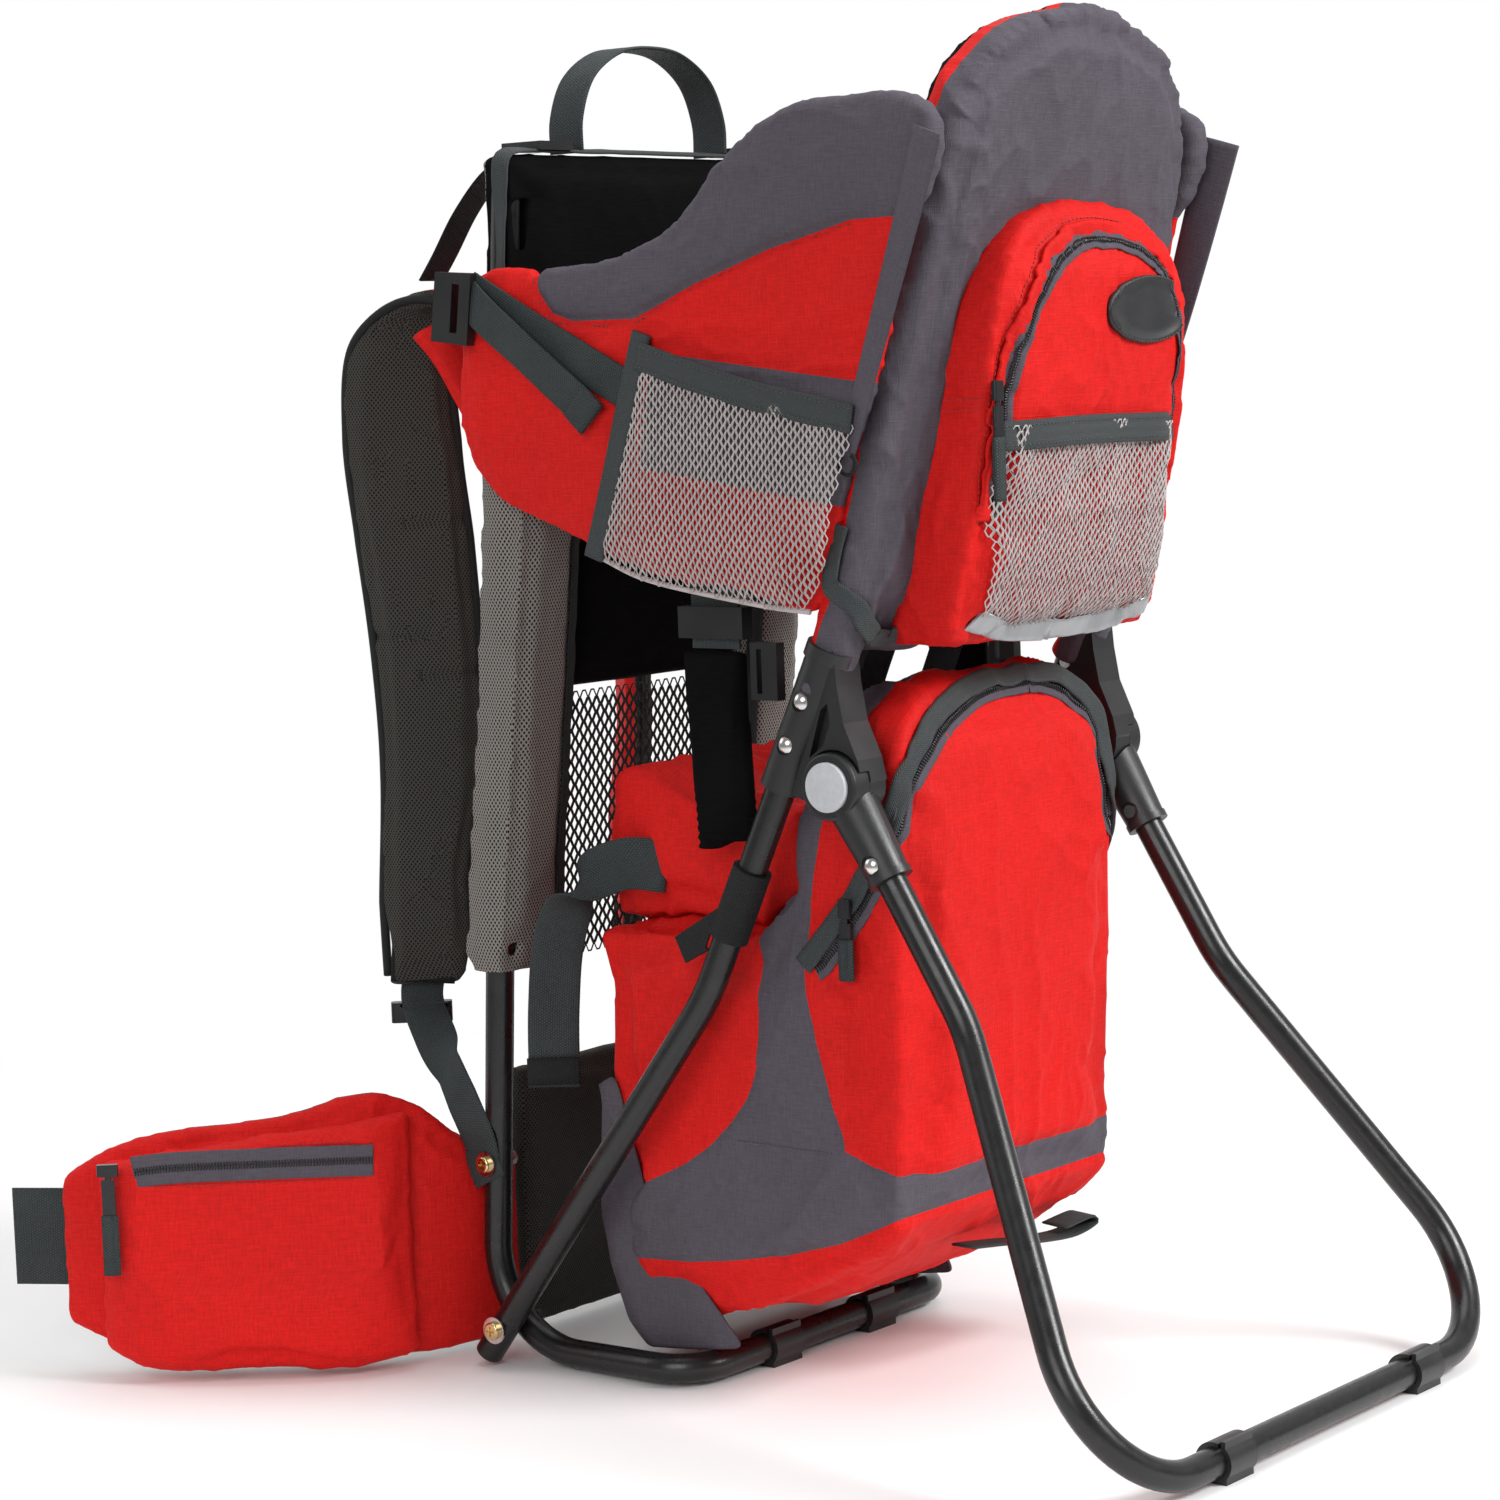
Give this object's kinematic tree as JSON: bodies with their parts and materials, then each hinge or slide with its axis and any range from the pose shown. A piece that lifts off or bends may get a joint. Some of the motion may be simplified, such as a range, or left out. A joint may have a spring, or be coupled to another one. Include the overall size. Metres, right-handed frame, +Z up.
{
  "type": "baby carrier backpack",
  "caption": "Framed child carrier backpack standing on a fold-out kickstand, with padded cockpit, harness, hip belt and storage bags.",
  "frame": {"origin": "on the floor, below the middle of the overall box of the standing carrier", "axes": "+Z up, +Y towards the wearer's back, -X the wearer's left; left and right mirror each other in X = 0 except the badge, zip pulls and bag loop"},
  "size_m": [0.6848, 0.8264, 0.8723],
  "materials": {
    "black_tube": "satin black powder coat",
    "black_plastic": "matte black moulded nylon",
    "clip_plastic": "matte black flexible plastic",
    "buckle_plastic": "semi-gloss black acetal",
    "board_plastic": "black polyethylene sheet",
    "button_plastic": "light grey moulded plastic",
    "badge_rubber": "soft moulded rubber, blank",
    "spring_steel": "plain steel",
    "rivet_steel": "polished nickel plate",
    "screw_brass": "yellow zinc plate",
    "zip_metal": "black enamelled zip slider with a webbing pull",
    "red_fabric": "bright red ripstop nylon",
    "grey_fabric": "charcoal grey ripstop nylon",
    "black_fabric": "black padded polyester lining",
    "air_mesh": "taupe grey air mesh over foam",
    "black_net": "open black polyester net",
    "pocket_net": "light grey diamond net",
    "webbing": "dark grey ribbed polypropylene webbing",
    "hook_loop": "black hook-and-loop tape"
  },
  "bodies": {
    "carrier": {"back_net": "black_net", "back_pads": "air_mesh", "back_panel": "black_fabric", "back_panel_board": "board_plastic", "bag_loop": "webbing", "base_skirt": "grey_fabric", "bracket_rivets": "rivet_steel", "canopy_sleeves": "grey_fabric", "carry_handle": "webbing", "child_harness": "black_fabric", "cockpit_side_left": "red_fabric", "cockpit_side_right": "red_fabric", "compression_straps": "webbing", "foot_stirrups": "webbing", "frame_bracket_left": "black_plastic", "frame_bracket_right": "black_plastic", "frame_screws": "screw_brass", "frame_wraps": "hook_loop", "front_foot_clips": "clip_plastic", "front_frame_tube": "black_tube", "headrest": "grey_fabric", "hinge_pins": "rivet_steel", "hip_belt_back": "black_fabric", "hip_belt_wing_left": "red_fabric", "hip_belt_wing_right": "red_fabric", "hip_pocket_left": "red_fabric", "hip_pocket_right": "red_fabric", "hip_webbing": "webbing", "load_lifters": "webbing", "lower_bag": "red_fabric", "lower_straps": "webbing", "pouch_badge": "badge_rubber", "pouch_mesh_pocket": "pocket_net", "rear_frame_tube": "black_tube", "screw_nuts": "spring_steel", "screw_washers": "rivet_steel", "seat": "red_fabric", "seat_back": "black_fabric", "seat_side_pads": "black_fabric", "seat_side_webbing": "webbing", "shoulder_strap_left": "air_mesh", "shoulder_strap_right": "air_mesh", "side_pocket_left": "pocket_net", "side_pocket_right": "pocket_net", "tube_end_caps": "black_plastic", "upper_pouch": "red_fabric", "webbing_buckles": "buckle_plastic"},
    "kickstand": {"kickstand_tube": "black_tube", "kickstand_socket_left": "black_plastic", "kickstand_socket_right": "black_plastic", "socket_rivets": "rivet_steel", "kickstand_foot_clips": "clip_plastic", "button_spring_left": "spring_steel", "button_spring_right": "spring_steel"},
    "left_button": {"press_button_left": "button_plastic"},
    "right_button": {"press_button_right": "button_plastic"},
    "left_hip_zip": {"hip_zip_slider_left": "zip_metal"},
    "right_hip_zip": {"hip_zip_slider_right": "zip_metal"},
    "pouch_zip": {"pouch_zip_slider": "zip_metal"},
    "bag_zip": {"bag_zip_slider": "zip_metal"}
  },
  "joints": [
    {"name": "kickstand_fold", "type": "hinge", "parent": "carrier", "child": "kickstand", "pos_m": [0, -0.1552, 0.4015], "axis": [1, 0, 0], "range_deg": [0, 43]},
    {"name": "left_button_press", "type": "slide", "parent": "kickstand", "child": "left_button", "axis": [1, 0, 0], "range_m": [0, 0.004], "stiffness_N_per_m": 400, "springref_m": -0.002, "deforming": ["button_spring_left"]},
    {"name": "right_button_press", "type": "slide", "parent": "kickstand", "child": "right_button", "axis": [-1, 0, 0], "range_m": [0, 0.004], "stiffness_N_per_m": 400, "springref_m": -0.002, "deforming": ["button_spring_right"]},
    {"name": "left_hip_zip_slide", "type": "slide", "parent": "carrier", "child": "left_hip_zip", "axis": [0.6422, -0.7556, 0.1289], "range_m": [0, 0.17]},
    {"name": "right_hip_zip_slide", "type": "slide", "parent": "carrier", "child": "right_hip_zip", "axis": [-0.6422, -0.7556, 0.1289], "range_m": [0, 0.17]},
    {"name": "pouch_zip_slide", "type": "slide", "parent": "carrier", "child": "pouch_zip", "axis": [0.0903, -0.1605, 0.9829], "range_m": [0, 0.045]},
    {"name": "bag_zip_slide", "type": "slide", "parent": "carrier", "child": "bag_zip", "axis": [0, -0.5, 0.866], "range_m": [0, 0.04]}
  ]
}
